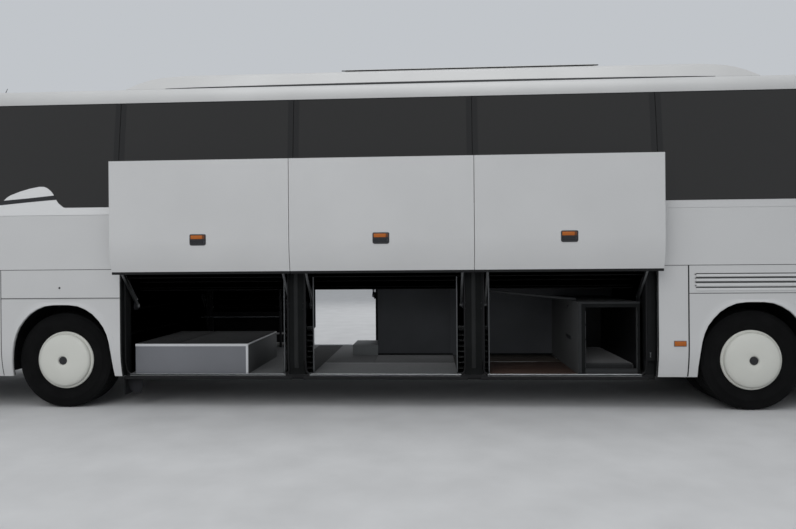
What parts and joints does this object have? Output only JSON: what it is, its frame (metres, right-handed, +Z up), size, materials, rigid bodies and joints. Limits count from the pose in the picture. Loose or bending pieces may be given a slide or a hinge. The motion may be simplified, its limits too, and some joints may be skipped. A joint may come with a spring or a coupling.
{
  "type": "coach bus",
  "caption": "High-deck touring coach with parallel-lift luggage flaps, steered front axle, twin drive wheels, tag axle and swinging doors.",
  "frame": {"origin": "on the ground, in the middle of the overall length and width", "axes": "+X towards the rear, +Y towards the coach's right, +Z up"},
  "size_m": [14.195, 3.0266, 3.722],
  "materials": {
    "white_paint": "gloss",
    "grey_paint": "satin",
    "chassis_paint": "matte",
    "floor_board": "matte",
    "tinted_glass": "polished",
    "tyre_rubber": "matte",
    "black_plastic": "matte",
    "arm_steel": "satin",
    "lamp_plastic": "gloss",
    "cloth": "matte",
    "flap_paint": "gloss",
    "housing_panel": "satin",
    "roof_plastic": "gloss"
  },
  "bodies": {
    "coach": {"axles": "chassis_paint", "bay_fittings": "housing_panel", "bay_frame": "grey_paint", "bumpers": "white_paint", "chassis": "chassis_paint", "dashboard": "black_plastic", "engine": "chassis_paint", "front_panel": "white_paint", "lamps": "lamp_plastic", "luggage_floor": "floor_board", "mirrors": "black_plastic", "rear_panel": "white_paint", "roof": "roof_plastic", "roof_fairing": "roof_plastic", "saloon_floor": "floor_board", "screens": "tinted_glass", "seats": "cloth", "side_glass": "tinted_glass", "side_panels": "white_paint", "skirt_panels": "white_paint", "sleeping_cabin": "housing_panel", "stair_housing": "housing_panel", "wheel_housings": "black_plastic", "window_frame": "grey_paint", "wipers": "black_plastic"},
    "flap_left_1": {"flap_left_1": "flap_paint"},
    "flap_arms_left_1": {"flap_arms_left_1": "arm_steel"},
    "flap_left_2": {"flap_left_2": "flap_paint"},
    "flap_arms_left_2": {"flap_arms_left_2": "arm_steel"},
    "flap_left_3": {"flap_left_3": "flap_paint"},
    "flap_arms_left_3": {"flap_arms_left_3": "arm_steel"},
    "flap_right_1": {"flap_right_1": "flap_paint"},
    "flap_arms_right_1": {"flap_arms_right_1": "arm_steel"},
    "flap_right_2": {"flap_right_2": "flap_paint"},
    "flap_arms_right_2": {"flap_arms_right_2": "arm_steel"},
    "steering_wheel": {"steering_wheel": "black_plastic"},
    "engine_lid": {"engine_lid": "white_paint"},
    "knuckle_left": {"knuckle_left": "arm_steel"},
    "knuckle_right": {"knuckle_right": "arm_steel"},
    "front_door": {"front_door": "white_paint"},
    "front_door_arms": {"front_door_arms": "arm_steel"},
    "mid_door": {"mid_door": "white_paint"},
    "mid_door_arms": {"mid_door_arms": "arm_steel"},
    "front_wheel_left": {"front_wheel_left": "tyre_rubber"},
    "front_wheel_right": {"front_wheel_right": "tyre_rubber"},
    "drive_wheels_left": {"drive_wheels_left": "tyre_rubber"},
    "drive_wheels_right": {"drive_wheels_right": "tyre_rubber"},
    "tag_wheel_left": {"tag_wheel_left": "tyre_rubber"},
    "tag_wheel_right": {"tag_wheel_right": "tyre_rubber"}
  },
  "joints": [
    {"name": "left_flap_1_arms", "type": "hinge", "parent": "coach", "child": "flap_arms_left_1", "pos_m": [0, -0.97914, 1.066], "axis": [1, 0, 0], "range_deg": [0, 119.5]},
    {"name": "left_flap_1", "type": "hinge", "parent": "flap_arms_left_1", "child": "flap_left_1", "pos_m": [0, -1.41827, 1.54523], "axis": [1, 0, 0], "range_deg": [-119.5, 0]},
    {"name": "left_flap_2_arms", "type": "hinge", "parent": "coach", "child": "flap_arms_left_2", "pos_m": [0, -0.97914, 1.066], "axis": [1, 0, 0], "range_deg": [0, 119.5]},
    {"name": "left_flap_2", "type": "hinge", "parent": "flap_arms_left_2", "child": "flap_left_2", "pos_m": [0, -1.41827, 1.54523], "axis": [1, 0, 0], "range_deg": [-119.5, 0]},
    {"name": "left_flap_3_arms", "type": "hinge", "parent": "coach", "child": "flap_arms_left_3", "pos_m": [0, -0.97914, 1.066], "axis": [1, 0, 0], "range_deg": [0, 119.5]},
    {"name": "left_flap_3", "type": "hinge", "parent": "flap_arms_left_3", "child": "flap_left_3", "pos_m": [0, -1.41827, 1.54523], "axis": [1, 0, 0], "range_deg": [-119.5, 0]},
    {"name": "right_flap_1_arms", "type": "hinge", "parent": "coach", "child": "flap_arms_right_1", "pos_m": [0, 0.97914, 1.066], "axis": [1, 0, 0], "range_deg": [0, 119.5]},
    {"name": "right_flap_1", "type": "hinge", "parent": "flap_arms_right_1", "child": "flap_right_1", "pos_m": [0, 1.18, 0.44781], "axis": [1, 0, 0], "range_deg": [-119.5, 0]},
    {"name": "right_flap_2_arms", "type": "hinge", "parent": "coach", "child": "flap_arms_right_2", "pos_m": [0, 0.97914, 1.066], "axis": [-1, 0, 0], "range_deg": [0, 119.5]},
    {"name": "right_flap_2", "type": "hinge", "parent": "flap_arms_right_2", "child": "flap_right_2", "pos_m": [0, 1.41827, 1.54523], "axis": [-1, 0, 0], "range_deg": [-119.5, 0]},
    {"name": "left_steering", "type": "hinge", "parent": "coach", "child": "knuckle_left", "pos_m": [-4.115, -0.95, 0.505], "axis": [0, 0, 1], "range_deg": [-40, 40]},
    {"name": "left_front_wheel", "type": "hinge", "parent": "knuckle_left", "child": "front_wheel_left", "pos_m": [-4.115, -1.067, 0.505], "axis": [0, 1, 0], "continuous": true},
    {"name": "left_drive_wheels", "type": "hinge", "parent": "coach", "child": "drive_wheels_left", "pos_m": [2.985, -1.067, 0.505], "axis": [0, 1, 0], "continuous": true},
    {"name": "left_tag_wheel", "type": "hinge", "parent": "coach", "child": "tag_wheel_left", "pos_m": [4.335, -1.067, 0.505], "axis": [0, 1, 0], "continuous": true},
    {"name": "right_steering", "type": "hinge", "parent": "coach", "child": "knuckle_right", "pos_m": [-4.115, 0.95, 0.505], "axis": [0, 0, 1], "range_deg": [-40, 40]},
    {"name": "right_front_wheel", "type": "hinge", "parent": "knuckle_right", "child": "front_wheel_right", "pos_m": [-4.115, 1.067, 0.505], "axis": [0, 1, 0], "continuous": true},
    {"name": "right_drive_wheels", "type": "hinge", "parent": "coach", "child": "drive_wheels_right", "pos_m": [2.985, 1.067, 0.505], "axis": [0, 1, 0], "continuous": true},
    {"name": "right_tag_wheel", "type": "hinge", "parent": "coach", "child": "tag_wheel_right", "pos_m": [4.335, 1.067, 0.505], "axis": [0, 1, 0], "continuous": true},
    {"name": "steering_wheel", "type": "hinge", "parent": "coach", "child": "steering_wheel", "pos_m": [-6.195, -0.6, 1.56], "axis": [0.4226, 0, 0.9063], "range_deg": [-800, 800]},
    {"name": "engine_lid", "type": "hinge", "parent": "coach", "child": "engine_lid", "pos_m": [7.101, 0, 1.703], "axis": [0, -1, 0], "range_deg": [0, 80]},
    {"name": "front_door_arms", "type": "hinge", "parent": "coach", "child": "front_door_arms", "pos_m": [-6.075, 1.09, 1], "axis": [0, 0, 1], "range_deg": [0, 150]},
    {"name": "front_door", "type": "hinge", "parent": "front_door_arms", "child": "front_door", "pos_m": [-5.645, 1.09, 1], "axis": [0, 0, 1], "range_deg": [-150, 0]},
    {"name": "mid_door_arms", "type": "hinge", "parent": "coach", "child": "mid_door_arms", "pos_m": [-0.105, 1.09, 1], "axis": [0, 0, -1], "range_deg": [0, 150]},
    {"name": "mid_door", "type": "hinge", "parent": "mid_door_arms", "child": "mid_door", "pos_m": [-0.535, 1.09, 1], "axis": [0, 0, -1], "range_deg": [-150, 0]}
  ],
  "couplings": [
    {"joint": "left_flap_1", "follows": "left_flap_1_arms", "ratio": -1},
    {"joint": "left_flap_2", "follows": "left_flap_2_arms", "ratio": -1},
    {"joint": "left_flap_3", "follows": "left_flap_3_arms", "ratio": -1},
    {"joint": "right_flap_1", "follows": "right_flap_1_arms", "ratio": -1},
    {"joint": "right_flap_2", "follows": "right_flap_2_arms", "ratio": -1},
    {"joint": "right_steering", "follows": "left_steering", "ratio": 1},
    {"joint": "steering_wheel", "follows": "left_steering", "ratio": 20},
    {"joint": "front_door", "follows": "front_door_arms", "ratio": -1},
    {"joint": "mid_door", "follows": "mid_door_arms", "ratio": -1}
  ]
}
